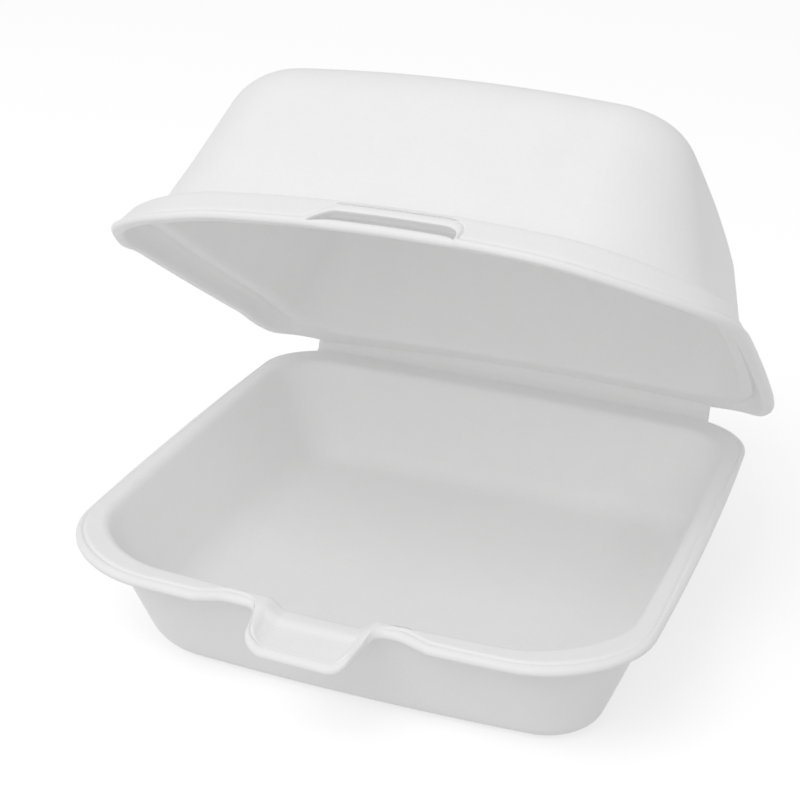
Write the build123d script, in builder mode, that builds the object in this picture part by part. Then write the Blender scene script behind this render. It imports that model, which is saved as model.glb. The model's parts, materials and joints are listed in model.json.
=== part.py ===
from build123d import *
import os
from math import cos, radians, sin, tan

# A hinged take-out container of thermoformed polystyrene foam, standing open on
# its tray.  Millimetres, +Z up, origin at the middle of the tray's underside,
# front (latch side) towards -Y, hinge at the back.
#
# An outline is a rectangle with gently bowed sides and rounded corners:
# half width, front edge, back edge, bow of the sides, front and back, radius of
# the front and back corners.  Walls run straight between a low and a high outline.

# ---------------------------------------------------------------- foam sheet
FOAM = 2.1                  # thickness of floors, flange and tab
TRAY_WALL = 2.2             # horizontal thickness of the tray's sloping wall
DOME_WALL = 2.2             # horizontal thickness of the lid's sloping wall
SKIRT_WALL = 2.4            # horizontal thickness of the flared skirt

# ---------------------------------------------------------------- tray
RIM_Z = 30.3                # top of the tray's flange
TRAY_BASE = dict(half_x=57.2, front=-59.8, back=60.8, bow_x=1.3, bow_front=2.4,
                 bow_back=1.0, r_front=13.0, r_back=12.0)
TRAY_TOP = dict(half_x=67.1, front=-75.0, back=64.1, bow_x=2.2, bow_front=2.2,
                bow_back=2.0, r_front=21.5, r_back=15.0)
RIM = dict(half_x=70.5, front=-78.8, back=72.4, bow_x=2.1, bow_front=2.3,
           bow_back=0.8, r_front=25.9, r_back=16.9)
BASE_EDGE_R = 4.5           # outer round between floor and wall
FLOOR_EDGE_R = 5.5          # inner round between floor and wall
LIP_W = 2.3                 # the outer strip of the flange sits a little lower
LIP_DROP = 0.6

# ---------------------------------------------------------------- latch tab
TAB_HALF_W = 12.3
TAB_BEND_Y = -79.0          # the tab bends down from the flange along this line
TAB_TIP_Y = -93.8
TAB_SLOPE = 9.0             # degrees below level
TAB_CORNER_R = 5.0
RELIEF_DEPTH = 3.4          # flange edge cut back beside the tab
RELIEF_OUT_X = 28.5         # where the cut-back starts, from the middle
RELIEF_R = 6.0

# ---------------------------------------------------------------- hinge
AXIS_Y = 73.6               # fold line of the hinge strip
AXIS_Z = RIM_Z + 1.9
OPEN_ANGLE = 32.2           # the lid as it stands, from parallel with the tray
HINGE_HALF_W = 59.0
HINGE_T = 1.0               # the strip is pressed thin so that it can fold
FOLD_GAP = 1.1              # from the fold line to the lid's half of the strip

# ---------------------------------------------------------------- lid
# y from the fold line (negative to the front), z up from it, lid level
LEDGE_Z = 3.2               # underside of the ledge that lies over the flange
SKIRT_LOW_Z = -0.6
SKIRT_LOW = dict(half_x=74.8, front=-153.6, back=0.6, bow_x=2.0, bow_front=3.8,
                 bow_back=0.0, r_front=37.0, r_back=24.0)
SKIRT_TOP = dict(half_x=71.6, front=-147.0, back=-0.5, bow_x=2.0, bow_front=3.8,
                 bow_back=0.0, r_front=31.0, r_back=20.0)
DOME_FOOT = dict(half_x=66.3, front=-138.6, back=-2.6, bow_x=2.2, bow_front=3.7,
                 bow_back=0.0, r_front=26.0, r_back=20.0)
DOME_Z = 47.6               # flat top of the dome
DOME_TOP = dict(half_x=55.0, front=-122.8, back=-7.6, bow_x=1.0, bow_front=2.8,
                bow_back=0.0, r_front=15.5, r_back=14.0)
DOME_EDGE_R = 9.5
DOME_INNER_R = 7.5
LIP_OUT = 1.2               # the front lip stands out past the skirt
LIP_MIDDLE_Z = -1.8         # the lip's lower edge arches: its middle is high,
LIP_CORNER_Z = -5.6         # and it hangs lowest at the front corners
LIP_BACK_Y = -106.0         # the lip wraps the front corners as far as this
SLOT_HALF_W = 16.5
SLOT_H = 3.0                # slot that the tray's tab is pressed through

STRIP_SIDE_GAP = 0.4        # between the strip's ends and the skirt beside them
STRIP_UP = 3.2              # the lid's half of the strip runs up into the ledge

# ---------------------------------------------------------------- derived
LEDGE_TOP_Z = LEDGE_Z + FOAM
LIP_H = SKIRT_LOW_Z - LIP_CORNER_Z
LIP_END_X = SKIRT_LOW["half_x"]
RELIEF_Y = RIM["front"] - RIM["bow_front"] + RELIEF_DEPTH
RELIEF_IN_X = RELIEF_OUT_X - 2 * RELIEF_DEPTH
TAB_ROOT_Y = RELIEF_Y + FOAM / 2
TAB_FALL = (TAB_BEND_Y - TAB_TIP_Y) * tan(radians(TAB_SLOPE))
STRIP_ROOT_Y = AXIS_Y - 2 * FOAM
STRIP_OPEN_Y = 2 * FOAM     # how far in from the fold line the skirt is cut
SLOT_REACH = 4 * FOAM       # more than the skirt's flare and thickness
CUT = 300.0                 # longer than any cut needs to be
FLANGE_PLANE = Plane.XY.offset(RIM_Z - FOAM)
LID_PLANE = Plane(
    origin=(0, AXIS_Y, AXIS_Z),
    x_dir=(1, 0, 0),
    z_dir=(0, sin(radians(OPEN_ANGLE)), cos(radians(OPEN_ANGLE))),
)
LIP_PLANE = LID_PLANE.offset(LIP_CORNER_Z)
ACROSS_PLANE = Plane(origin=LID_PLANE.origin, x_dir=(1, 0, 0), z_dir=-LID_PLANE.y_dir)
os.makedirs("parts", exist_ok=True)


def between(low, high, share):
    """The outline that lies at a share of the way from low to high."""
    return {key: low[key] + (high[key] - low[key]) * share for key in low}


def inset(edge, amount):
    """The outline moved inwards on every side."""
    moved = dict(edge)
    moved["half_x"] -= amount
    moved["front"] += amount
    moved["back"] -= amount
    moved["r_front"] -= amount
    moved["r_back"] -= amount
    return moved


def bowed(plane, edge):
    """A flat face inside an outline, on a plane."""
    x, front, back = edge["half_x"], edge["front"], edge["back"]
    middle = (front + back) / 2
    with BuildSketch(plane) as face:
        with BuildLine():
            ThreePointArc((x, front), (x + edge["bow_x"], middle), (x, back))
            if edge["bow_back"]:
                ThreePointArc((x, back), (0, back + edge["bow_back"]), (-x, back))
            else:
                Line((x, back), (-x, back))
            ThreePointArc((-x, back), (-x - edge["bow_x"], middle), (-x, front))
            ThreePointArc((-x, front), (0, front - edge["bow_front"]), (x, front))
        make_face()
        corners = face.vertices().group_by(Axis((0, 0, 0), plane.y_dir))
        fillet(corners[-1], edge["r_back"])
        corners = face.vertices().group_by(Axis((0, 0, 0), plane.y_dir))
        fillet(corners[0], edge["r_front"])
    return face.sketch.face()


def tray_wall(z, thickness):
    """The tray's wall line at a height, moved inwards by a thickness."""
    edge = inset(between(TRAY_BASE, TRAY_TOP, z / RIM_Z), thickness)
    return bowed(Plane.XY.offset(z), edge)


def skirt_wall(z, thickness):
    """The skirt's line at a height above the fold line, moved inwards."""
    share = (z - SKIRT_LOW_Z) / (LEDGE_TOP_Z - SKIRT_LOW_Z)
    return bowed(LID_PLANE.offset(z), inset(between(SKIRT_LOW, SKIRT_TOP, share), thickness))


def dome_wall(z, thickness):
    """The dome's line at a height above the fold line, moved inwards."""
    share = (z - LEDGE_TOP_Z) / (DOME_Z - LEDGE_TOP_Z)
    return bowed(LID_PLANE.offset(z), inset(between(DOME_FOOT, DOME_TOP, share), thickness))


def near_height(edges, plane, z):
    """The edges whose middle lies at one height above a plane."""
    return [edge for edge in edges if abs(plane.to_local_coords(edge.center()).Z - z) < 0.05]


# The tray: a tub with sloping walls, a flange round its top, the latch tab that
# hangs from the flange's front edge and the lower half of the hinge strip.
with BuildPart() as tray:
    loft([tray_wall(0, 0), tray_wall(RIM_Z, 0)], ruled=True)
    fillet(tray.edges().group_by(Axis.Z)[0], BASE_EDGE_R)
    # flange, with its outer strip a little lower than the rest
    extrude(bowed(FLANGE_PLANE, RIM), amount=FOAM - LIP_DROP)
    extrude(bowed(FLANGE_PLANE, inset(RIM, LIP_W)), amount=FOAM)
    # flange edge cut back on both sides of the tab
    with BuildSketch(FLANGE_PLANE) as relief:
        with BuildLine():
            Polyline(
                (-RELIEF_OUT_X, RELIEF_Y - CUT), (-RELIEF_OUT_X, RIM["front"] - LIP_W),
                (-RELIEF_IN_X, RELIEF_Y), (RELIEF_IN_X, RELIEF_Y),
                (RELIEF_OUT_X, RIM["front"] - LIP_W), (RELIEF_OUT_X, RELIEF_Y - CUT),
                close=True,
            )
        make_face()
        fillet(relief.vertices().group_by(Axis.Y)[-1], RELIEF_R)
    extrude(amount=FOAM, mode=Mode.SUBTRACT)
    # latch tab
    with BuildSketch(Plane.YZ) as tab_side:
        with BuildLine():
            Polyline(
                (TAB_ROOT_Y, RIM_Z), (TAB_BEND_Y, RIM_Z),
                (TAB_TIP_Y, RIM_Z - TAB_FALL), (TAB_TIP_Y, RIM_Z - TAB_FALL - FOAM),
                (TAB_BEND_Y, RIM_Z - FOAM), (TAB_ROOT_Y, RIM_Z - FOAM),
                close=True,
            )
        make_face()
    extrude(amount=TAB_HALF_W, both=True)
    fillet(tray.edges().filter_by(Axis.Z).group_by(Axis.Y)[0], TAB_CORNER_R)
    # inside of the tub
    loft([tray_wall(FOAM, TRAY_WALL), tray_wall(RIM_Z, TRAY_WALL)], ruled=True,
         mode=Mode.SUBTRACT)
    fillet(near_height(tray.edges(), Plane.XY, FOAM), FLOOR_EDGE_R)
    # lower half of the hinge strip, rounded along the fold line
    with BuildSketch(Plane.YZ) as strip_side:
        with BuildLine():
            Polyline(
                (STRIP_ROOT_Y, RIM_Z - FOAM), (AXIS_Y + HINGE_T / 2, RIM_Z - FOAM),
                (AXIS_Y + HINGE_T / 2, AXIS_Z), (AXIS_Y - HINGE_T / 2, AXIS_Z),
                (AXIS_Y - HINGE_T / 2, RIM_Z - LIP_DROP), (STRIP_ROOT_Y, RIM_Z - LIP_DROP),
                close=True,
            )
        make_face()
        with Locations((AXIS_Y, AXIS_Z)):
            Circle(HINGE_T / 2)
    extrude(amount=HINGE_HALF_W, both=True)

tray.part.label = "tray"
export_step(tray.part, "parts/tray.step")


# The space inside the lid's dome.
with BuildPart() as dome_hollow:
    loft([dome_wall(LEDGE_Z, DOME_WALL), dome_wall(DOME_Z - FOAM, DOME_WALL)], ruled=True)
    fillet(near_height(dome_hollow.edges(), LID_PLANE, DOME_Z - FOAM), DOME_INNER_R)


# The lid: a deep dome, the ledge round its foot, the flared skirt that hangs
# from the ledge, the lip along the skirt's front and the upper half of the strip.
with BuildPart() as lid:
    # lip, under the front of the skirt only, with an arched lower edge
    extrude(bowed(LIP_PLANE, inset(SKIRT_LOW, -LIP_OUT)), amount=LIP_H)
    with BuildSketch(LIP_PLANE):
        with Locations((0, LIP_BACK_Y)):
            Rectangle(CUT, CUT, align=(Align.CENTER, Align.MIN))
    extrude(amount=LIP_H, mode=Mode.SUBTRACT)
    with BuildSketch(ACROSS_PLANE):
        with BuildLine():
            ThreePointArc((-LIP_END_X, LIP_CORNER_Z), (0, LIP_MIDDLE_Z), (LIP_END_X, LIP_CORNER_Z))
            Line((LIP_END_X, LIP_CORNER_Z), (-LIP_END_X, LIP_CORNER_Z))
        make_face()
    extrude(amount=CUT, mode=Mode.SUBTRACT)
    # skirt and ledge
    loft([skirt_wall(SKIRT_LOW_Z, 0), skirt_wall(LEDGE_TOP_Z, 0)], ruled=True)
    # dome
    loft([dome_wall(LEDGE_Z, 0), dome_wall(DOME_Z, 0)], ruled=True)
    fillet(near_height(lid.edges(), LID_PLANE, DOME_Z), DOME_EDGE_R)
    # inside of the dome, then of the skirt and of the lip
    add(dome_hollow.part, mode=Mode.SUBTRACT)
    loft([skirt_wall(SKIRT_LOW_Z, SKIRT_WALL), skirt_wall(LEDGE_Z, SKIRT_WALL)], ruled=True,
         mode=Mode.SUBTRACT)
    extrude(bowed(LIP_PLANE, inset(SKIRT_LOW, SKIRT_WALL)), amount=LIP_H, mode=Mode.SUBTRACT)
    # slot in the front of the skirt
    with BuildSketch(LID_PLANE.offset(LEDGE_Z)):
        with Locations((0, SKIRT_LOW["front"])):
            Rectangle(SLOT_HALF_W * 2, SLOT_REACH * 2)
    extrude(amount=-SLOT_H, mode=Mode.SUBTRACT)
    # the skirt is open where the hinge strip takes its place
    with BuildSketch(LIP_PLANE):
        Rectangle((HINGE_HALF_W + STRIP_SIDE_GAP) * 2, STRIP_OPEN_Y * 2)
    extrude(amount=LEDGE_Z - LIP_CORNER_Z, mode=Mode.SUBTRACT)
    # upper half of the hinge strip
    with BuildSketch(Plane.YZ):
        with Locations((AXIS_Y, AXIS_Z + FOLD_GAP)):
            Rectangle(HINGE_T, STRIP_UP, align=(Align.CENTER, Align.MIN))
    extrude(amount=HINGE_HALF_W, both=True)

lid.part.label = "lid"
export_step(lid.part, "parts/lid.step")
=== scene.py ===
import json
import math

import bpy
import numpy as np
from mathutils import Matrix, Vector


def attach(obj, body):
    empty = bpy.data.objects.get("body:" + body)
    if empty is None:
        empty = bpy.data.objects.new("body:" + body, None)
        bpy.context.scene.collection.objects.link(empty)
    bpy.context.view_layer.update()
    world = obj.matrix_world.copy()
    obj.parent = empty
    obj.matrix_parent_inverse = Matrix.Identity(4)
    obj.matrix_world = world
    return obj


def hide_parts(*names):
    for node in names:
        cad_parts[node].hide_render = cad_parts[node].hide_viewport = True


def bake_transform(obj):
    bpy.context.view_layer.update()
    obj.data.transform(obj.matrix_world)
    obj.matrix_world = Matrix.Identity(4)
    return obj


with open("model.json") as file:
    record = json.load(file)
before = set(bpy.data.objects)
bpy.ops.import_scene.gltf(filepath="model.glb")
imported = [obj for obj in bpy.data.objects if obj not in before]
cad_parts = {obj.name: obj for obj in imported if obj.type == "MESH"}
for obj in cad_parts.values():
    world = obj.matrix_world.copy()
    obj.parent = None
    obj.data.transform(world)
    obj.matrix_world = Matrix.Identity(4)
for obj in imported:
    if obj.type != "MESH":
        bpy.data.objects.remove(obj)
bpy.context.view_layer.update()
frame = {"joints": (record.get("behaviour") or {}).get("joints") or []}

# ---------------------------------------------------------------- foam sheet
# Extruded polystyrene foam, about 2 mm thick and white all through.  Both halves
# and the hinge between them are pressed from one sheet, so they share one skin:
# fine closed cells under a satin film, a little uneven from the hot mould.
MM = 0.001
FOAM = 2.1
FOAM_WHITE = (0.950, 0.950, 0.948)
FOAM_SHADE = (0.915, 0.914, 0.913)
CELL_SIZE = 0.9            # mm, one cell of the foam
MOTTLE_SIZE = 9.0          # mm, cloudy patches of the skin
SKIN_WAVE = 0.035          # mm, how far the mould leaves the skin uneven
SKIN_WAVE_SIZE = 6.0       # mm
SKIN_SEED = 7
GRAIN = 0.55               # strength of the cells' relief
GRAIN_DEPTH = 0.12         # mm
SKIN_ROUGHNESS = 0.50
SPREAD_SHARE = 0.12          # share of the light that spreads inside the foam
SPREAD_REACH = 2.0           # mm, how far it spreads


class Field:
    """One socket of a node tree, with the operators that add Math nodes."""

    def __init__(self, tree, socket):
        self.tree, self.socket = tree, socket

    def node(self, kind, settings=None, sockets=None, out=0):
        """Adds a node: its type, its settings, then its sockets' values or links."""
        made = self.tree.nodes.new(kind)
        for name, value in (settings or {}).items():
            if name == "ramp":
                for stop, (at, shade) in zip(made.color_ramp.elements, value):
                    stop.position, stop.color = at, (shade, shade, shade, 1)
            else:
                setattr(made, name, value)
        for name, value in (sockets or {}).items():
            if isinstance(value, Field):
                self.tree.links.new(value.socket, made.inputs[name])
            else:
                made.inputs[name].default_value = value
        return Field(self.tree, made.outputs[out])

    def maths(self, operation, first, second):
        return self.node("ShaderNodeMath", {"operation": operation}, {0: first, 1: second})

    def __add__(self, other):
        return self.maths("ADD", self, other)

    def __radd__(self, other):
        return self.maths("ADD", other, self)

    def __sub__(self, other):
        return self.maths("SUBTRACT", self, other)

    def __rsub__(self, other):
        return self.maths("SUBTRACT", other, self)

    def __mul__(self, other):
        return self.maths("MULTIPLY", self, other)

    def __rmul__(self, other):
        return self.maths("MULTIPLY", other, self)


def foam_material(name):
    """White foam: closed cells and cloudy patches, in colour, gloss and bump."""
    material = bpy.data.materials.new(name)
    material.use_nodes = True
    tree = material.node_tree
    shader = tree.nodes["Principled BSDF"]
    start = Field(tree, None)
    place = start.node("ShaderNodeTexCoord", out=3)
    cells = start.node("ShaderNodeTexVoronoi", {"feature": "SMOOTH_F1"},
                       {"Vector": place, "Scale": 1 / (CELL_SIZE * MM), "Smoothness": 0.6})
    fine = start.node("ShaderNodeTexNoise", None,
                      {"Vector": place, "Scale": 1 / (CELL_SIZE * 0.6 * MM), "Detail": 3.0,
                       "Roughness": 0.65})
    cloud = start.node("ShaderNodeTexNoise", None,
                       {"Vector": place, "Scale": 1 / (MOTTLE_SIZE * MM), "Detail": 4.0,
                        "Roughness": 0.55})
    height = cells * 0.55 + fine * 0.9 + cloud * 0.5
    tone = cloud * 0.5 + fine * 0.3 + cells * 0.2
    shade = start.node("ShaderNodeMapRange", None,
                       {"Value": tone, "From Min": 0.3, "From Max": 0.6})
    colour = start.node("ShaderNodeMix", {"data_type": "RGBA"},
                        {0: shade, 6: (*FOAM_SHADE, 1), 7: (*FOAM_WHITE, 1)}, out=2)
    bump = start.node("ShaderNodeBump", None,
                      {"Height": height, "Strength": GRAIN, "Distance": GRAIN_DEPTH * MM})
    rough = SKIN_ROUGHNESS + 0.16 * (fine - 0.5) + 0.10 * (cloud - 0.5)
    tree.links.new(colour.socket, shader.inputs["Base Color"])
    tree.links.new(rough.socket, shader.inputs["Roughness"])
    tree.links.new(bump.socket, shader.inputs["Normal"])
    for socket, value in (("IOR", 1.45), ("Specular IOR Level", 0.42),
                          ("Subsurface Weight", SPREAD_SHARE),
                          ("Subsurface Radius", (1.0, 0.98, 0.95)),
                          ("Subsurface Scale", SPREAD_REACH * MM)):
        shader.inputs[socket].default_value = value
    return material


foam = foam_material("white_foam")


def skin_tree():
    """Geometry Nodes: pushes a pressed sheet's skin in and out by a slow wave."""
    tree = bpy.data.node_groups.new("foam_skin", "GeometryNodeTree")
    made = {}
    for name, kind, value in (
        ("Sheet", "NodeSocketGeometry", None),
        ("Wave height", "NodeSocketFloat", SKIN_WAVE * MM),
        ("Wave size", "NodeSocketFloat", SKIN_WAVE_SIZE * MM),
        ("Seed", "NodeSocketFloat", float(SKIN_SEED)),
        ("Foam", "NodeSocketMaterial", None),
    ):
        made[name] = tree.interface.new_socket(name, in_out="INPUT", socket_type=kind)
        if value is not None:
            made[name].default_value = value
    tree.interface.new_socket("Sheet", in_out="OUTPUT", socket_type="NodeSocketGeometry")
    start = Field(tree, None)
    given = tree.nodes.new("NodeGroupInput")
    take = {socket.name: Field(tree, socket) for socket in given.outputs if socket.name}
    place = start.node("GeometryNodeInputPosition")
    normal = start.node("GeometryNodeInputNormal")
    wave = start.node("ShaderNodeTexNoise", {"noise_dimensions": "4D"},
                      {"Vector": place, "W": take["Seed"], "Detail": 1.0,
                       "Scale": start.maths("DIVIDE", 1.0, take["Wave size"])})
    push = (wave - 0.5) * 2.0 * take["Wave height"]
    offset = start.node("ShaderNodeVectorMath", {"operation": "SCALE"},
                        {0: normal, 3: push})
    moved = start.node("GeometryNodeSetPosition", None,
                       {"Geometry": take["Sheet"], "Offset": offset})
    real = start.node("GeometryNodeRealizeInstances", None, {"Geometry": moved})
    done = start.node("GeometryNodeSetMaterial", None,
                      {"Geometry": real, "Material": take["Foam"]})
    end = tree.nodes.new("NodeGroupOutput")
    tree.links.new(done.socket, end.inputs[0])
    return tree, {name: socket.identifier for name, socket in made.items()}


skin, skin_inputs = skin_tree()


def pressed(name, points, faces):
    """A finished piece of the sheet: points in mm, faces by their numbers."""
    mesh = bpy.data.meshes.new(name + "_form")
    mesh.from_pydata((np.asarray(points) * MM).tolist(), [], faces)
    form = bpy.data.objects.new(name + "_form", mesh)
    bpy.context.scene.collection.objects.link(form)
    layer = form.modifiers.new("skin", "NODES")
    layer.node_group = skin
    layer[skin_inputs["Wave height"]] = SKIN_WAVE * MM
    layer[skin_inputs["Wave size"]] = SKIN_WAVE_SIZE * MM
    layer[skin_inputs["Seed"]] = float(SKIN_SEED)
    layer[skin_inputs["Foam"]] = foam
    bpy.context.view_layer.update()
    graph = bpy.context.evaluated_depsgraph_get()
    plain = bpy.data.meshes.new_from_object(form.evaluated_get(graph))
    bpy.data.objects.remove(form)
    plain.name = name
    plain.polygons.foreach_set("use_smooth", [True] * len(plain.polygons))
    piece = bpy.data.objects.new(name, plain)
    bpy.context.scene.collection.objects.link(piece)
    return piece


# ---------------------------------------------------------------- tray
# The lower half: a shallow tub with sloping walls, pressed from the sheet, with a
# flange round its top whose cut edge is rolled into a low bead.  A tongue-like tab
# with a dished pad hangs from the flange's front, in a dip of the wall's top.
RIM_Z = 30.3
TRAY_BASE = dict(half_x=57.0, front=-59.7, back=60.8, bow_x=1.3, bow_front=2.6,
                 bow_back=1.0, r_front=12.0, r_left=18.0, r_back=11.0)
TRAY_TOP = dict(half_x=67.1, front=-73.2, back=64.1, bow_x=2.2, bow_front=2.9,
                bow_back=2.0, r_front=26.5, r_left=26.0, r_back=15.0)
RIM = dict(half_x=70.5, front=-78.8, back=72.4, bow_x=2.1, bow_front=2.3,
           bow_back=0.8, r_front=25.9, r_back=16.9)
BASE_SHIFT, RIM_SHIFT = 1.0, -0.75     # the tub leans a little to one side
WALL = 2.2
BASE_EDGE_R = 4.0
FLOOR_EDGE_R = 5.5
TOP_EDGE_R = 1.5           # inner edge of the flange
UNDER_R = 1.5              # between flange and outer wall
BEAD_W = 2.3               # rolled bead along the flange's edge
BEAD_DROP = 0.45
GROOVE, GROOVE_W = 0.22, 0.35              # groove on the inner side of the bead
FRONT_N, SIDE_N, BACK_N, CORNER_N = 200, 54, 60, 22
# cut edge of the flange's front: (x, y or None for on the flange's edge, radius)
TAB_PATH = ((-36.0, None, 0), (-29.8, None, 6.0), (-23.4, -77.9, 5.0), (-15.0, -77.9, 3.0),
            (-13.2, -90.6, 4.6), (10.6, -91.2, 4.6), (13.0, -78.0, 3.2), (19.0, -77.8, 6.0),
            (27.0, None, 6.0), (36.0, None, 0))
TAB_MIDDLE_X = -0.8
TAB_DIP = 2.6              # the wall's top dips at the tab
TAB_DIP_IN, TAB_DIP_OUT = 8.6, 13.6
TAB_DIP_BELOW, TAB_DIP_FULL = 12.0, 1.5    # below the rim: where the dip begins, is full
TAB_DIP_Y, TAB_DIP_FULL_Y = -60.0, -68.0
TAB_HALF_IN, TAB_HALF_OUT = 12.5, 16.5
TAB_FOLD_Y = -78.2
TAB_FALL = 0.13            # slope of the tab
TAB_STEP, TAB_STEP_RUN = 0.9, 5.0          # and its drop just past the fold
FOLD_DEPTH, FOLD_W = 0.28, 0.45            # the pressed line of the fold
FOLD_HALF_IN, FOLD_HALF_OUT = 7.5, 9.5
PAD_DEPTH = 0.75
PAD_EDGE_IN, PAD_EDGE_OUT = 3.1, 1.5
PAD_GAP, PAD_RUN = 0.4, 2.6                # from the fold: where the pad begins, is full
PAD_ROWS = 20              # rows of the flange that lie inside its bead
BEAD_CROWN, BEAD_CROWN_AT, BEAD_CROWN_HALF = 0.30, 1.25, 0.95
FLANGE_CLEAR = 1.2         # plain flange next to the bead


def smooth(value, start, end):
    """0 at start, 1 at end, smooth between them."""
    share = np.clip((value - start) / (end - start), 0, 1)
    return share * share * (3 - 2 * share)


def between(low, high, share):
    """The outline that lies at a share of the way from low to high."""
    return {key: low[key] + (high[key] - low[key]) * share for key in low}


def outline(edge, inset=0.0):
    """Points round a bowed rectangle with round corners, from its front left corner."""
    x, front, back = edge["half_x"] - inset, edge["front"] + inset, edge["back"] - inset
    rf, rb = max(edge["r_front"] - inset, 0.5), max(edge["r_back"] - inset, 0.5)
    rl = max(edge.get("r_left", edge["r_front"]) - inset, 0.5)
    share = lambda count: np.arange(count) / count
    turn = lambda cx, cy, r, start: np.c_[
        cx + r * np.cos(np.radians(start + 90 * share(CORNER_N))),
        cy + r * np.sin(np.radians(start + 90 * share(CORNER_N)))]
    run = lambda a, b, count: np.array(a) + (np.array(b) - np.array(a)) * share(count)[:, None]
    p = np.concatenate([
        run((rl - x, front), (x - rf, front), FRONT_N), turn(x - rf, front + rf, rf, -90),
        run((x, front + rf), (x, back - rb), SIDE_N), turn(x - rb, back - rb, rb, 0),
        run((x - rb, back), (rb - x, back), BACK_N), turn(rb - x, back - rb, rb, 90),
        run((-x, back - rb), (-x, front + rl), SIDE_N), turn(rl - x, front + rl, rl, 180)])
    u = (p[:, 1] - (front + back) / 2) / ((back - front) / 2)
    v = p[:, 0] / x
    bow_y = np.where(u < 0, -edge["bow_front"], edge["bow_back"])
    return p + np.c_[np.sign(v) * edge["bow_x"] * (1 - u ** 2) * np.abs(v) ** 6,
                     bow_y * (1 - v ** 2) * np.abs(u) ** 6]


def ring(edge, inset, z):
    """One row of a pressed shell: an outline, moved inwards, at a height."""
    flat = outline(edge, inset)
    return np.c_[flat, np.full(len(flat), float(z))]


def rounded_path(corners, count):
    """Evenly spaced points along a polyline whose corners are rounded."""
    dense = [np.array(corners[0][:2])]
    for before, here, after in zip(corners, corners[1:], corners[2:]):
        p0, p, p1 = (np.array(c[:2]) for c in (before, here, after))
        a, b = (p0 - p) / np.linalg.norm(p0 - p), (p1 - p) / np.linalg.norm(p1 - p)
        half = math.acos(np.clip(a @ b, -1, 1)) / 2
        reach = here[2] / math.tan(half)
        centre = p + (a + b) / np.linalg.norm(a + b) * here[2] / math.sin(half)
        start, end = p + a * reach - centre, p + b * reach - centre
        sweep = math.atan2(start[0] * end[1] - start[1] * end[0], start @ end)
        for share in np.linspace(0, 1, 25):
            c, s = math.cos(sweep * share), math.sin(sweep * share)
            dense.append(centre + [start[0] * c - start[1] * s, start[0] * s + start[1] * c])
    dense.append(np.array(corners[-1][:2]))
    dense = np.array(dense)
    along = np.r_[0, np.cumsum(np.linalg.norm(np.diff(dense, axis=0), axis=1))]
    at = np.linspace(0, along[-1], count)
    return np.c_[np.interp(at, along, dense[:, 0]), np.interp(at, along, dense[:, 1])]


def shell(rows, centre_first, centre_last, inside_out):
    """Points and faces of a closed shell whose rows run from its inner to its outer middle."""
    count = len(rows[0])
    points = np.concatenate([*rows, [centre_first], [centre_last]])
    first, last = len(points) - 2, len(points) - 1
    faces = []
    for r in range(len(rows) - 1):
        for i in range(count):
            j = (i + 1) % count
            faces.append((r * count + i, (r + 1) * count + i, (r + 1) * count + j, r * count + j))
    top = (len(rows) - 1) * count
    for i in range(count):
        j = (i + 1) % count
        faces += [(first, i, j), (last, top + j, top + i)]
    if inside_out:
        faces = [face[::-1] for face in faces]
    return points, faces


def tray_ring(z, inset):
    """A row of the tray's wall at a height, moved inwards."""
    return ring(between(TRAY_BASE, TRAY_TOP, z / RIM_Z), inset, z)


def shrunk(row, share):
    """A flat row drawn in towards the middle of its outline."""
    middle = (row.min(0) + row.max(0)) / 2
    out = middle + (row - middle) * share
    out[:, 2] = row[:, 2]
    return out


rim_edge = outline(RIM)
flange_x = rim_edge[:FRONT_N, 0]
path = [(x, np.interp(x, flange_x, rim_edge[:FRONT_N, 1]) if y is None else y, r)
        for x, y, r in TAB_PATH]
cut = np.flatnonzero((flange_x > TAB_PATH[0][0]) & (flange_x < TAB_PATH[-1][0]))
rim_edge[cut] = rounded_path(path, len(cut))

quarter = np.radians(np.linspace(0, 90, 9))
tray_rows = [shrunk(tray_ring(FOAM, WALL + FLOOR_EDGE_R), s) for s in (0.25, 0.5, 0.75, 0.9)]
tray_rows += [tray_ring(FOAM + FLOOR_EDGE_R * (1 - math.cos(a)),
                        WALL + FLOOR_EDGE_R * (1 - math.sin(a))) for a in quarter]
tray_rows += [tray_ring(z, WALL)
              for z in np.linspace(FOAM + FLOOR_EDGE_R, RIM_Z - TOP_EDGE_R, 16)[1:]]
tray_rows += [tray_ring(RIM_Z - TOP_EDGE_R * (1 - math.sin(a)),
                        WALL - TOP_EDGE_R * (1 - math.cos(a))) for a in quarter[2::2]]
flange_first = len(tray_rows)
inner_edge = tray_rows[-1][:, :2]
width = np.linalg.norm(rim_edge - inner_edge, axis=1)[:, None]
half = FOAM / 2
# rows of the flange, by their distance from its cut edge
from_edge = [BEAD_W + FLANGE_CLEAR + (width - BEAD_W - FLANGE_CLEAR) * share
             for share in np.linspace(0.92, 0.0, 14)]
from_edge += [np.full_like(width, distance)
              for distance in (3.1, 2.8, 2.5, 2.3, 2.1, 1.9, 1.6, 1.3)]
for distance in from_edge:
    flat = rim_edge + (inner_edge - rim_edge) * distance / width
    d = distance[:, 0]
    bead = -BEAD_DROP * smooth(d, BEAD_W + 0.5, BEAD_W - 0.3)
    bead -= GROOVE * np.exp(-((d - BEAD_W) / GROOVE_W) ** 2)
    bead += BEAD_CROWN * np.clip(1 - ((d - BEAD_CROWN_AT) / BEAD_CROWN_HALF) ** 2, 0, 1)
    tray_rows.append(np.c_[flat, RIM_Z + bead])
for a in np.radians(np.linspace(80, -90, 10)):
    flat = rim_edge + (inner_edge - rim_edge) * half * (1 - math.cos(a)) / width
    edge_z = RIM_Z - BEAD_DROP - half + half * math.sin(a) * 1.05
    tray_rows.append(np.c_[flat, np.full(len(flat), edge_z)])
under = tray_ring(RIM_Z - FOAM, -UNDER_R)
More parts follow.
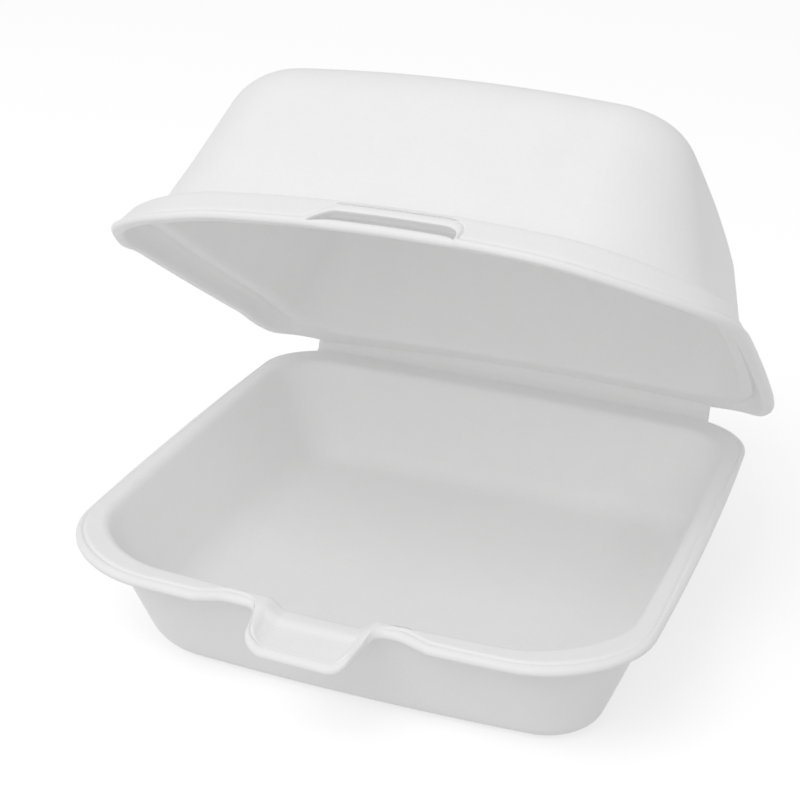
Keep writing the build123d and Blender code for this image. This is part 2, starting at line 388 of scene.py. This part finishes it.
under_edge = np.c_[rim_edge + (inner_edge - rim_edge) * half / width,
                   np.full(len(under), RIM_Z - BEAD_DROP - FOAM)]
tray_rows += [under * share + under_edge * (1 - share) for share in np.linspace(0, 1, 7)[1:-1]]
tray_rows += [tray_ring(RIM_Z - FOAM - UNDER_R * (1 - math.cos(a)), -UNDER_R * (1 - math.sin(a)))
              for a in quarter[::2]]
tray_rows += [tray_ring(z, 0) for z in np.linspace(RIM_Z - FOAM - UNDER_R, BASE_EDGE_R, 16)[1:]]
tray_rows += [tray_ring(BASE_EDGE_R * (1 - math.sin(a)), BASE_EDGE_R * (1 - math.cos(a)))
              for a in quarter[1:]]
tray_rows += [shrunk(tray_rows[-1], s) for s in (0.9, 0.75, 0.5, 0.25)]

for row in tray_rows:      # the dip of the wall's top, the tab's slope, its fold and its pad
    row[:, 0] += BASE_SHIFT + (RIM_SHIFT - BASE_SHIFT) * row[:, 2] / RIM_Z
    x, y, z = row.T
    near = smooth(z, RIM_Z - TAB_DIP_BELOW, RIM_Z - TAB_DIP_FULL) \
        * smooth(y, TAB_DIP_Y, TAB_DIP_FULL_Y)
    off = np.abs(x - TAB_MIDDLE_X)
    inside = smooth(off, TAB_DIP_OUT, TAB_DIP_IN) * near
    row[:, 2] -= TAB_DIP * inside
    beyond = np.clip(TAB_FOLD_Y - y, 0, None)
    on_tab = smooth(off, TAB_HALF_OUT, TAB_HALF_IN) * near
    step = TAB_STEP * smooth(beyond, 0, TAB_STEP_RUN)
    row[:, 2] -= TAB_FALL * beyond * on_tab + step * on_tab * (1 - smooth(off, 13, 9.5))
    fold = FOLD_DEPTH * np.exp(-((y - TAB_FOLD_Y) / FOLD_W) ** 2)
    row[:, 2] -= fold * smooth(off, FOLD_HALF_OUT, FOLD_HALF_IN) * near * (z > RIM_Z - 0.9)
edge_points = rim_edge[cut] + (RIM_SHIFT, 0)
for row in tray_rows[flange_first:flange_first + PAD_ROWS]:
    on_pad = (np.abs(row[:, 0] - TAB_MIDDLE_X) < 14) & (row[:, 1] < TAB_FOLD_Y - PAD_GAP)
    for k in np.flatnonzero(on_pad):
        d = np.linalg.norm(edge_points - row[k, :2], axis=1).min()
        past_fold = float(smooth(row[k, 1], TAB_FOLD_Y - PAD_GAP, TAB_FOLD_Y - PAD_RUN))
        row[k, 2] -= PAD_DEPTH * float(smooth(d, PAD_EDGE_OUT, PAD_EDGE_IN)) * past_fold

tray = pressed("tray_shell", *shell(tray_rows, (0, 0, FOAM), (0, 0, 0), False))
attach(tray, "tray")
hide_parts("tray")

# ---------------------------------------------------------------- lid
# The upper half: a deep dome with sloping walls, a ledge round its foot and a
# flared skirt that ends in a rolled lip.  The front lip is arched, hangs low at
# both front corners and rises over the latch slot as a brow, above a plain bar.
HINGE = np.array(frame["joints"][0]["pos_m"]) / MM
OPEN_ANGLE = math.radians(32.2)
LEDGE_TOP_Z = 7.0
LID_FOOT = dict(half_x=66.4, front=-138.5, back=-3.2, bow_x=3.3, bow_front=3.7,
                bow_back=0.0, r_front=26.0, r_back=15.0)
LID_TOP_Z = 48.0
LID_TOP = dict(half_x=54.9, front=-122.7, back=-6.8, bow_x=0.9, bow_front=2.8,
               bow_back=0.0, r_front=15.2, r_back=11.0)
LID_EDGE_R = 9.5
LEDGE = dict(half_x=71.8, front=-146.2, back=-0.6, bow_x=1.9, bow_front=4.2,
             bow_back=0.0, r_front=33.0, r_back=20.0)
LIP = dict(half_x=74.6, front=-152.4, back=0.4, bow_x=1.9, bow_front=4.2,
           bow_back=0.0, r_front=40.0, r_back=24.0)
SKIRT_WALL = 2.3
FOOT_IN_R, SKIRT_IN_R = 1.6, 0.8      # inner rounds of the ledge
CREASE_Z, LIP_Z = 0.6, -1.6           # the lip's bead lies between these
BEAD_OUT = 1.0
ARCH_FRONT, ARCH_HINGE, ARCH_TOP = 4.5, 1.9, 3.2
TWIST_FRONT, TWIST_HINGE = 1.9, 0.8
ARCH_X = 70.5
SIDE_LIFT = 3.2                       # the sides' lower edge is higher than the front's
LEDGE_LIFT = (2.8, 0.9)               # and so is their ledge, left and right
CORNER_Y, EAR_Y, EAR_END_Y = -154.0, -118.0, -104.0
EAR_LIFT = 2.7
BACK_LIFT = 5.0
LEFT_CORNER_LIFT = 0.6                # clears the tray's flange when the lid is shut
BACK_DROP = 1.6                       # the back ledge runs down into the hinge
SLOT_LEFT, SLOT_RIGHT = -12.8, 19.5
SLOT_END_R = 4.6
BAR_TOP_Z, BROW_Z, BROW_TOP_Z = 0.85, 3.3, 5.5
BAR_SHARE, BROW_SHARE = 0.45, 0.5     # parts of the bead that become the bar and the brow
BROW_START = BROW_SHARE + 0.001
SLOT_CUT = 0.16                       # the sheet is cut where the slot is open this far
CREASE_H = 0.40                    # the crease's height above the bead
LEDGE_EDGE_R, FOOT_OUT_R = 1.3, 2.0   # outer rounds of the ledge

lip_line = outline(LIP)
n_around = len(lip_line)
column_x, column_y = lip_line.T
front_column = np.zeros(n_around)
front_column[:FRONT_N] = 1
to_end = np.clip((SLOT_RIGHT - column_x) / SLOT_END_R, 0, 1)
slot_open = front_column * smooth(column_x, SLOT_LEFT - 3.5, SLOT_LEFT + 4.5) \
    * np.sqrt(1 - (1 - to_end) ** 2)
side_lift = EAR_LIFT * smooth(column_y, CORNER_Y, EAR_Y)
side_lift += (SIDE_LIFT - EAR_LIFT) * smooth(column_y, EAR_Y, EAR_END_Y)
side_lift += (BACK_LIFT - SIDE_LIFT) * smooth(column_y, -14.0, -1.0)
side_lift += LEFT_CORNER_LIFT * smooth(column_x, -46.0, -60.0) \
    * smooth(column_y, -112.0, -126.0)


def lip_height(q):
    """Height of the lip at q, 0 at its lower edge and 1 at the crease above it."""
    plain = LIP_Z + (CREASE_Z - LIP_Z) * q
    if q <= BAR_SHARE:
        split = LIP_Z + (BAR_TOP_Z - LIP_Z) * q / BAR_SHARE
    else:
        split = BROW_Z + (BROW_TOP_Z - BROW_Z) * (q - BROW_SHARE) / (1 - BROW_SHARE)
    return plain + (split - plain) * slot_open


def half_round(share):
    """Height of a half circle over its width, 1 in the middle and 0 at both ends."""
    return math.sqrt(max(1 - (2 * share - 1) ** 2, 0))


def lip_out(q):
    """How far the lip's face stands out at q."""
    plain = BEAD_OUT * half_round(q)
    if q <= BAR_SHARE:
        split = -0.5 + 0.95 * half_round(q / BAR_SHARE)
    else:
        split = 0.1 + 0.85 * half_round((q - BROW_SHARE) / (1 - BROW_SHARE))
    return plain + (split - plain) * slot_open


def skirt_row(z, inset, lifted=True):
    """A row of the skirt at heights z round it, moved inwards by an inset round it."""
    z = np.broadcast_to(np.asarray(z, float), n_around)
    inset = np.broadcast_to(np.asarray(inset, float), n_around)[:, None]
    share = ((z - CREASE_Z) / (LEDGE_TOP_Z - CREASE_Z)).clip(-0.1, 1)[:, None]
    low, high = outline(LIP), outline(LEDGE)
    low_in, high_in = outline(LIP, 1.0), outline(LEDGE, 1.0)
    inwards = (low_in - low) * (1 - share) + (high_in - high) * share
    flat = low + (high - low) * share + inwards * inset
    reach = ((LEDGE_TOP_Z - z) / (LEDGE_TOP_Z - CREASE_Z)).clip(0, 1)
    return np.c_[flat, z + side_lift * reach * lifted]


def dome_ring(z, inset):
    """A row of the dome's wall at a height, moved inwards."""
    share = (z - LEDGE_TOP_Z) / (LID_TOP_Z - LEDGE_TOP_Z)
    return ring(between(LID_FOOT, LID_TOP, share), inset, z)


inner_top = LID_TOP_Z - FOAM
inner_r = LID_EDGE_R - FOAM
ledge_under = LEDGE_TOP_Z - FOAM
lid_rows = [shrunk(dome_ring(inner_top, WALL + inner_r), s) for s in (0.25, 0.5, 0.75, 0.9)]
lid_rows += [dome_ring(inner_top - inner_r * (1 - math.cos(a)), WALL + inner_r * (1 - math.sin(a)))
             for a in quarter]
lid_rows += [dome_ring(z, WALL)
             for z in np.linspace(inner_top - inner_r, ledge_under + FOOT_IN_R, 18)[1:]]
lid_rows += [dome_ring(ledge_under + FOOT_IN_R * (1 - math.sin(a)),
                       WALL - FOOT_IN_R * (1 - math.cos(a))) for a in quarter[2::2]]
foot_in = lid_rows[-1].copy()
foot_number = len(lid_rows) - 1
skirt_in = skirt_row(ledge_under, SKIRT_WALL + SKIRT_IN_R, False)
lid_rows += [foot_in + (skirt_in - foot_in) * s for s in np.linspace(0, 1, 7)[1:]]
lid_rows += [skirt_row(ledge_under - SKIRT_IN_R * (1 - math.cos(a)),
                       SKIRT_WALL + SKIRT_IN_R * (1 - math.sin(a))) for a in quarter[2::2]]
skirt_top_in = ledge_under - SKIRT_IN_R
brow_in = lip_height(BROW_START)
for share in (0.25, 0.5, 0.75):
    lid_rows.append(skirt_row(skirt_top_in + (brow_in - skirt_top_in) * share, SKIRT_WALL))
slot_in_top = len(lid_rows)
lid_rows.append(skirt_row(brow_in, SKIRT_WALL))
for q, sunk, out in ((BAR_SHARE, 0.0, 0.0), (0.3, 0.0, 0.0), (0.14, 0.0, 0.1),
                     (0.04, 0.0, 0.45), (0.0, 0.0, 1.0), (0.0, 0.05, 1.7)):
    lid_rows.append(skirt_row(lip_height(q) - sunk, SKIRT_WALL - out))
at_back = smooth(column_y, -15, -4)[:, None]
under_lip = lid_rows[-1]
inner = lid_rows[foot_number + 1:-1]
for number, row in enumerate(inner, 1):      # no skirt at the hinge: the ledge runs out flat
    level = foot_in + (under_lip - foot_in) * number / (len(inner) + 1)
    row += (level - row) * at_back
for q in (0.0, 0.03, 0.08, 0.16, 0.26, 0.36, 0.42, BAR_SHARE):
    lid_rows.append(skirt_row(lip_height(q), -lip_out(q)))
slot_out_bottom = len(lid_rows) - 1
for q in (BROW_START, 0.53, 0.58, 0.65, 0.74, 0.83, 0.9, 0.96, 1.0):
    lid_rows.append(skirt_row(lip_height(q), -lip_out(q)))
crease = lip_height(1.0)
lid_rows.append(skirt_row(crease + 0.12, 0.35))
lid_rows.append(skirt_row(crease + CREASE_H, 0.15))
skirt_rise = LEDGE_TOP_Z - LEDGE_EDGE_R - crease - CREASE_H
for share in (0.12, 0.25, 0.4, 0.6, 0.8, 1.0):
    lid_rows.append(skirt_row(crease + CREASE_H + skirt_rise * share, 0.0))
lid_rows += [skirt_row(LEDGE_TOP_Z - LEDGE_EDGE_R * (1 - math.sin(a)),
                       LEDGE_EDGE_R * (1 - math.cos(a))) for a in quarter[2::2]]
edge_out = lid_rows[-1]
foot_out = dome_ring(LEDGE_TOP_Z, -FOOT_OUT_R)
lid_rows += [edge_out + (foot_out - edge_out) * s for s in np.linspace(0, 1, 5)[1:]]
lid_rows += [dome_ring(LEDGE_TOP_Z + FOOT_OUT_R * (1 - math.cos(a)),
                       -FOOT_OUT_R * (1 - math.sin(a))) for a in quarter[2::2]]
lid_rows += [dome_ring(z, 0)
             for z in np.linspace(LEDGE_TOP_Z + FOOT_OUT_R, LID_TOP_Z - LID_EDGE_R, 18)[1:]]
lid_rows += [dome_ring(LID_TOP_Z - LID_EDGE_R * (1 - math.sin(a)),
                       LID_EDGE_R * (1 - math.cos(a)))
             for a in np.radians(np.linspace(0, 90, 13))[1:]]
lid_rows += [shrunk(lid_rows[-1], s) for s in (0.9, 0.75, 0.5, 0.25)]
middle_y = float((lid_rows[-1][:, 1].min() + lid_rows[-1][:, 1].max()) / 2)


def opened(points):
    """Points of the level lid, arched and twisted as the lid stands, then opened."""
    x, y, z = np.asarray(points, float).reshape(-1, 3).T
    beside = smooth(np.abs(x), 46, 66) * smooth(y, -142, -104) * smooth(y, 2, -22)
    z = z + np.where(x < 0, *LEDGE_LIFT) * beside * smooth(z, 0.5, 4.0) * smooth(z, 26, 8)
    z = z - BACK_DROP * smooth(y, -34, -8) * smooth(z, 16, 5)
    out = np.clip(-y / 150, 0, 1)
    rise = np.clip(z / LID_TOP_Z, 0, 1)
    arch = ARCH_HINGE + (ARCH_FRONT - ARCH_HINGE) * out
    arch = arch + (ARCH_TOP - arch) * rise
    twist = TWIST_HINGE + (TWIST_FRONT - TWIST_HINGE) * out
    z = z - arch * (x / ARCH_X) ** 2 + twist * x / ARCH_X
    c, s = math.cos(OPEN_ANGLE), math.sin(OPEN_ANGLE)
    return np.c_[x, HINGE[1] + y * c + z * s, HINGE[2] - y * s + z * c]


points, faces = shell([opened(r) for r in lid_rows], opened([(0, middle_y, inner_top)])[0],
                      opened([(0, middle_y, LID_TOP_Z)])[0], True)
# the slot: the faces between bar and brow are cut out, on both sides of the skirt
open_columns = [i for i in range(FRONT_N) if slot_open[i] > SLOT_CUT]
hole = set(open_columns[:-1])
rows_cut = (slot_in_top, slot_out_bottom)
kept = []
for number, face in enumerate(faces):
    row, column = divmod(number, n_around)
    if not (row in rows_cut and column in hole and len(face) == 4):
        kept.append(face)
vertex = lambda r, c: r * n_around + c
for c in open_columns[:-1]:
    kept.append((vertex(slot_out_bottom, c), vertex(slot_out_bottom, c + 1),
                 vertex(slot_in_top + 1, c + 1), vertex(slot_in_top + 1, c)))
    kept.append((vertex(slot_out_bottom + 1, c + 1), vertex(slot_out_bottom + 1, c),
                 vertex(slot_in_top, c), vertex(slot_in_top, c + 1)))
for c, turned in ((open_columns[0], True), (open_columns[-1], False)):
    end = (vertex(slot_in_top, c), vertex(slot_in_top + 1, c),
           vertex(slot_out_bottom, c), vertex(slot_out_bottom + 1, c))
    kept.append(end[::-1] if turned else end)

lid = pressed("lid_shell", points, kept)
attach(lid, "lid")
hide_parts("lid")

# ---------------------------------------------------------------- hinge
# The fold between the halves: a strip of the same sheet, pressed thin between two
# creases so that it bends, a little bulged where the open lid pushes on it.
HINGE_LEFT, HINGE_RIGHT = -62.0, 57.0
HINGE_T = 1.0              # mm, pressed thinner than the sheet
HINGE_N = 150
# side view, y and z above the joint: along the face that shows, from tray to lid
HINGE_FACE = ((-2.6, -3.0), (-1.5, -2.45), (-0.95, -2.0), (-0.9, -1.3), (-1.0, -0.4),
              (-0.85, 0.6), (-0.5, 1.6), (-0.1, 2.4), (0.25, 3.0), (0.6, 3.9))
face_line = np.array(HINGE_FACE)
along = np.gradient(face_line, axis=0)
along /= np.linalg.norm(along, axis=1)[:, None]
back_line = face_line + np.c_[along[:, 1], -along[:, 0]] * HINGE_T
loop = np.concatenate([face_line, back_line[::-1]])
strip_x = np.linspace(HINGE_LEFT, HINGE_RIGHT, HINGE_N)
strip_points = []
for x in strip_x:
    share = smooth(loop[:, 1], -2.0, 3.0)
    drop = (-ARCH_HINGE * (x / ARCH_X) ** 2 + TWIST_HINGE * x / ARCH_X) * share
    strip_points.append(np.c_[np.full(len(loop), x), HINGE[1] + loop[:, 0],
                              HINGE[2] + loop[:, 1] + drop])
count = len(loop)
strip_faces = []
for i in range(HINGE_N - 1):
    for j in range(count):
        k = (j + 1) % count
        strip_faces.append(((i + 1) * count + j, (i + 1) * count + k, i * count + k,
                            i * count + j))
strip_faces += [tuple(range(count)), tuple(range((HINGE_N - 1) * count, HINGE_N * count))[::-1]]
hinge = pressed("hinge_strip", np.concatenate(strip_points), strip_faces)
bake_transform(hinge)

# ---------------------------------------------------------------- floor, light, camera
# A plain pale floor under soft, bright studio light from the upper front left.
floor_mesh = bpy.data.meshes.new("floor")
floor_mesh.from_pydata([(-3, -3, 0), (3, -3, 0), (3, 3, 0), (-3, 3, 0)], [], [(0, 1, 2, 3)])
floor = bpy.data.objects.new("floor", floor_mesh)
bpy.context.scene.collection.objects.link(floor)
floor.location.z = -0.0004
pale = bpy.data.materials.new("pale_floor")
pale.use_nodes = True
for socket, value in (("Base Color", (0.95, 0.95, 0.95, 1)), ("Roughness", 0.9),
                      ("Specular IOR Level", 0.1), ("Emission Color", (1, 1, 1, 1)),
                      ("Emission Strength", 0.36)):
    pale.node_tree.nodes["Principled BSDF"].inputs[socket].default_value = value
floor_mesh.materials.append(pale)
floor.visible_diffuse = False         # the studio's own light fills from below instead

world = bpy.context.scene.world or bpy.data.worlds.new("studio")
bpy.context.scene.world = world
world.use_nodes = True
SKY_MEAN, SKY_SWING = 0.46, 0.18
SKY_TOP = (-0.42, -0.50, 0.76)        # the brightest part of the studio
sky = Field(world.node_tree, None)
towards_top = sky.node("ShaderNodeVectorMath", {"operation": "DOT_PRODUCT"},
                       {0: sky.node("ShaderNodeTexCoord"), 1: SKY_TOP}, out=1)
glow = world.node_tree.nodes["Background"]
glow.inputs["Color"].default_value = (1, 1, 1, 1)
world.node_tree.links.new((SKY_MEAN + SKY_SWING * towards_top).socket, glow.inputs["Strength"])


def soft_light(name, place, size, power):
    """A large square lamp that faces the middle of the object."""
    lamp = bpy.data.lights.new(name, "AREA")
    lamp.size, lamp.energy = size, power
    made = bpy.data.objects.new(name, lamp)
    bpy.context.scene.collection.objects.link(made)
    made.location = place
    aim = Vector((0, 0, 0.05)) - Vector(place)
    made.rotation_euler = aim.to_track_quat("-Z", "Y").to_euler()


soft_light("key_lamp", (-0.28, -0.98, 1.18), 0.8, 5.4)
soft_light("front_lamp", (-0.10, -1.30, 0.36), 0.9, 0.8)
soft_light("right_lamp", (0.85, -0.70, 0.85), 0.35, 0.7)
bpy.context.scene.view_settings.view_transform = "Standard"
bpy.context.scene.view_settings.gamma = 1.5

# camera: its direction in degrees, then its lens, sideways shifts and distance in mm
AZIMUTH, ELEVATION, ROLL = 18.6566, 23.1024, 3.2632
SENSOR, LENS = 36.0, 85.63905
SHIFT_X, SHIFT_Y, DISTANCE = 7.414, -48.475, 503.96
a, e, r = (math.radians(v) for v in (AZIMUTH, ELEVATION, ROLL))
right = np.array([math.cos(a), math.sin(a), 0])
back = np.array([math.sin(a) * math.cos(e), -math.cos(a) * math.cos(e), math.sin(e)])
up = np.cross(back, right)
right, up = (right * math.cos(r) + up * math.sin(r), up * math.cos(r) - right * math.sin(r))
camera_data = bpy.data.cameras.new("camera")
camera = bpy.data.objects.new("camera", camera_data)
bpy.context.scene.collection.objects.link(camera)
bpy.context.scene.camera = camera
camera_data.sensor_width = SENSOR
camera_data.lens = LENS
camera_data.clip_start, camera_data.clip_end = 0.01, 20
place = np.array([right, up, back]).T @ np.array([-SHIFT_X, -SHIFT_Y, DISTANCE]) * MM
camera.matrix_world = Matrix(np.vstack([np.c_[right, up, back, place], (0, 0, 0, 1)]).tolist())
